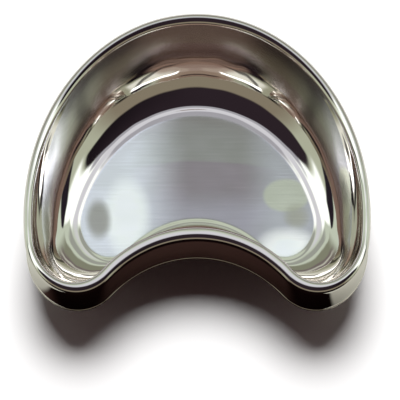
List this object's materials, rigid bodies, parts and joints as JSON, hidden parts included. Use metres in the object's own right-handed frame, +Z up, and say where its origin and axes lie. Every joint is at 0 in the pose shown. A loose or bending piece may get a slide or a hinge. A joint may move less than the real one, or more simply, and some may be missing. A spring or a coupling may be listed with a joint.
{
  "type": "kidney dish",
  "caption": "Kidney-shaped stainless steel dish, deep-drawn from one sheet, with a flat recessed floor, rounded corners and a rim that turns down to a rolled hem.",
  "frame": {"origin": "on the table under the middle of the dish's bounding box", "axes": "+X along the length, +Y towards the long bowed back, -Y towards the hollow front, +Z up out of the bowl"},
  "size_m": [0.25, 0.1702, 0.0425],
  "materials": {
    "dish_shell": "mirror-polished stainless steel, walls and rim bright, floor satin"
  },
  "bodies": {
    "root": {"dish_shell": "dish_shell"}
  },
  "joints": []
}
